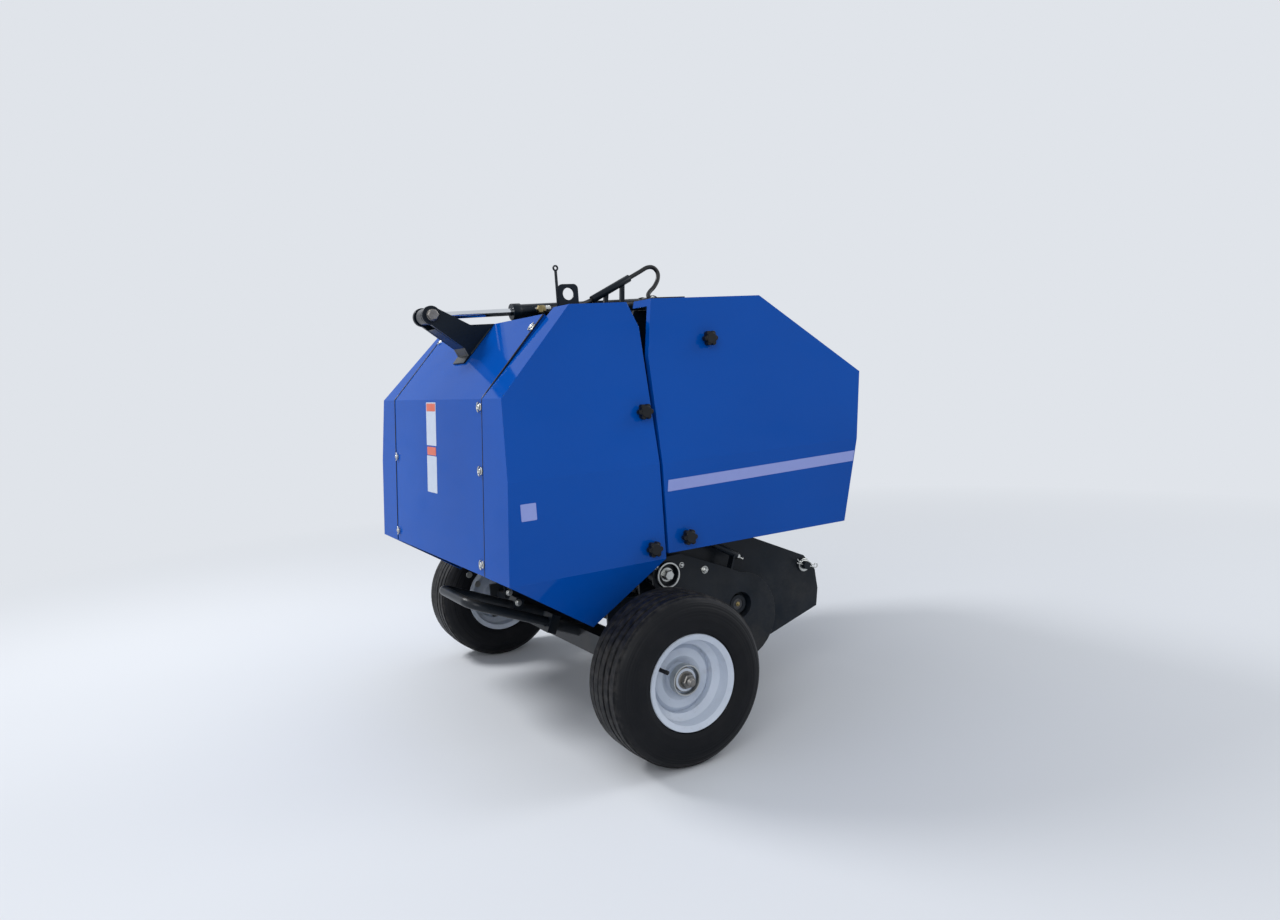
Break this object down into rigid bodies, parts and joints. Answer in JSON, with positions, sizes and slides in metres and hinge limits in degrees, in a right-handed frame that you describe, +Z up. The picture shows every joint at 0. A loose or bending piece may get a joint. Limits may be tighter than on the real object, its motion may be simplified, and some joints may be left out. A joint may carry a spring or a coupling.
{
  "type": "mounted round baler",
  "caption": "Compact mounted round baler with a roller chamber, opening tailgate, tined pick-up reel and two carrying wheels.",
  "frame": {"origin": "on the ground, at the middle of the whole machine seen from above", "axes": "+X forward to the tractor, +Y to the left, +Z up"},
  "size_m": [1.095, 1.353, 1.2407],
  "materials": {
    "blue_paint": "gloss",
    "dark_paint": "satin",
    "white_paint": "satin",
    "chrome": "polished",
    "bare_steel": "satin",
    "black_plastic": "matte",
    "guard_plastic": "matte",
    "hose_rubber": "matte",
    "tyre": "matte"
  },
  "bodies": {
    "frame": {"side_plate_left": "dark_paint", "side_plate_right": "dark_paint", "front_beam": "dark_paint", "axle_beam": "dark_paint", "top_beam": "dark_paint", "front_cover_left": "blue_paint", "front_cover_right": "blue_paint", "twine_box": "dark_paint", "hitch_mast": "dark_paint", "gearbox": "dark_paint", "pto_guard": "guard_plastic", "pickup_side_left": "dark_paint", "pickup_side_right": "dark_paint", "pickup_bands": "dark_paint", "bale_bar": "dark_paint", "cylinder_base": "dark_paint", "front_knobs": "black_plastic", "stand_sleeve": "dark_paint"},
    "tailgate": {"gate_side_left": "dark_paint", "gate_side_right": "dark_paint", "gate_panel": "blue_paint", "gate_crossbars": "dark_paint", "rear_cover_left": "blue_paint", "rear_cover_right": "blue_paint", "gate_arm": "dark_paint", "gate_knobs": "black_plastic", "gate_lug": "dark_paint"},
    "roller_1": {"roller_1": "dark_paint"},
    "roller_2": {"roller_2": "dark_paint"},
    "roller_3": {"roller_3": "dark_paint"},
    "roller_4": {"roller_4": "dark_paint"},
    "roller_5": {"roller_5": "dark_paint"},
    "roller_6": {"roller_6": "dark_paint"},
    "roller_7": {"roller_7": "dark_paint"},
    "roller_8": {"roller_8": "dark_paint"},
    "roller_9": {"roller_9": "dark_paint"},
    "roller_10": {"roller_10": "dark_paint"},
    "roller_11": {"roller_11": "dark_paint"},
    "reel": {"pickup_reel": "bare_steel"},
    "cross_shaft": {"cross_shaft": "dark_paint"},
    "pto": {"pto_stub": "bare_steel"},
    "hood": {"front_hood": "blue_paint"},
    "barrel": {"cylinder_barrel": "dark_paint", "hydraulic_hose": "hose_rubber"},
    "rod": {"cylinder_rod": "chrome"},
    "wheel_left": {"tyre_left": "tyre", "rim_left": "white_paint"},
    "wheel_right": {"tyre_right": "tyre", "rim_right": "white_paint"},
    "stand": {"stand_leg": "dark_paint"}
  },
  "joints": [
    {"name": "tailgate_hinge", "type": "hinge", "parent": "frame", "child": "tailgate", "pos_m": [-0.11993, 0, 1.03535], "axis": [0, 1, 0], "range_deg": [0, 50]},
    {"name": "barrel_hinge", "type": "hinge", "parent": "frame", "child": "barrel", "pos_m": [0.1685, 0, 1.125], "axis": [0, 1, 0], "range_deg": [0, 29.43]},
    {"name": "rod_slide", "type": "slide", "parent": "barrel", "child": "rod", "axis": [0.9999, 0, 0.0161], "range_m": [0, 0.13399]},
    {"name": "hood_hinge", "type": "hinge", "parent": "frame", "child": "hood", "pos_m": [0.2035, 0, 1.107], "axis": [0, -1, 0], "range_deg": [0, 60]},
    {"name": "roller_1_spin", "type": "hinge", "parent": "frame", "child": "roller_1", "pos_m": [-0.11993, 0, 1.03535], "axis": [0, 1, 0], "continuous": true},
    {"name": "roller_2_spin", "type": "hinge", "parent": "frame", "child": "roller_2", "pos_m": [0.03025, 0, 0.97619], "axis": [0, 1, 0], "continuous": true},
    {"name": "roller_3_spin", "type": "hinge", "parent": "frame", "child": "roller_3", "pos_m": [0.12851, 0, 0.84813], "axis": [0, 1, 0], "continuous": true},
    {"name": "roller_4_spin", "type": "hinge", "parent": "frame", "child": "roller_4", "pos_m": [0.14678, 0, 0.68776], "axis": [0, 1, 0], "continuous": true},
    {"name": "roller_5_spin", "type": "hinge", "parent": "frame", "child": "roller_5", "pos_m": [0.08969, 0, 0.55325], "axis": [0, 1, 0], "continuous": true},
    {"name": "roller_6_spin", "type": "hinge", "parent": "tailgate", "child": "roller_6", "pos_m": [-0.27433, 0, 1.01089], "axis": [0, 1, 0], "continuous": true},
    {"name": "roller_7_spin", "type": "hinge", "parent": "tailgate", "child": "roller_7", "pos_m": [-0.39426, 0, 0.91464], "axis": [0, 1, 0], "continuous": true},
    {"name": "roller_8_spin", "type": "hinge", "parent": "tailgate", "child": "roller_8", "pos_m": [-0.45125, 0, 0.7718], "axis": [0, 1, 0], "continuous": true},
    {"name": "roller_9_spin", "type": "hinge", "parent": "tailgate", "child": "roller_9", "pos_m": [-0.43051, 0, 0.61943], "axis": [0, 1, 0], "continuous": true},
    {"name": "roller_10_spin", "type": "hinge", "parent": "tailgate", "child": "roller_10", "pos_m": [-0.33743, 0, 0.49702], "axis": [0, 1, 0], "continuous": true},
    {"name": "roller_11_spin", "type": "hinge", "parent": "tailgate", "child": "roller_11", "pos_m": [-0.19614, 0, 0.43632], "axis": [0, 1, 0], "continuous": true},
    {"name": "reel_spin", "type": "hinge", "parent": "frame", "child": "reel", "pos_m": [0.1465, 0, 0.285], "axis": [0, 1, 0], "continuous": true},
    {"name": "cross_shaft_spin", "type": "hinge", "parent": "frame", "child": "cross_shaft", "pos_m": [0.3885, 0, 0.5], "axis": [0, 1, 0], "continuous": true},
    {"name": "pto_spin", "type": "hinge", "parent": "frame", "child": "pto", "pos_m": [0.4685, 0, 0.5], "axis": [1, 0, 0], "continuous": true},
    {"name": "wheel_left_spin", "type": "hinge", "parent": "frame", "child": "wheel_left", "pos_m": [-0.1745, 0.594, 0.205], "axis": [0, 1, 0], "continuous": true},
    {"name": "wheel_right_spin", "type": "hinge", "parent": "frame", "child": "wheel_right", "pos_m": [-0.1745, -0.594, 0.205], "axis": [0, 1, 0], "continuous": true},
    {"name": "stand_slide", "type": "slide", "parent": "frame", "child": "stand", "axis": [0, 0, 1], "range_m": [0, 0.23]}
  ],
  "couplings": [
    {"joint": "barrel_hinge", "follows": "tailgate_hinge", "ratio": 0.58861},
    {"joint": "rod_slide", "follows": "tailgate_hinge", "m_per_rad": 0.15354},
    {"joint": "roller_2_spin", "follows": "roller_1_spin", "ratio": 1},
    {"joint": "roller_3_spin", "follows": "roller_1_spin", "ratio": 1},
    {"joint": "roller_4_spin", "follows": "roller_1_spin", "ratio": 1},
    {"joint": "roller_5_spin", "follows": "roller_1_spin", "ratio": 1},
    {"joint": "roller_6_spin", "follows": "roller_1_spin", "ratio": 1},
    {"joint": "roller_7_spin", "follows": "roller_1_spin", "ratio": 1},
    {"joint": "roller_8_spin", "follows": "roller_1_spin", "ratio": 1},
    {"joint": "roller_9_spin", "follows": "roller_1_spin", "ratio": 1},
    {"joint": "roller_10_spin", "follows": "roller_1_spin", "ratio": 1},
    {"joint": "roller_11_spin", "follows": "roller_1_spin", "ratio": 1},
    {"joint": "reel_spin", "follows": "roller_1_spin", "ratio": 0.6},
    {"joint": "cross_shaft_spin", "follows": "roller_1_spin", "ratio": 1.5},
    {"joint": "pto_spin", "follows": "roller_1_spin", "ratio": 2.7}
  ]
}
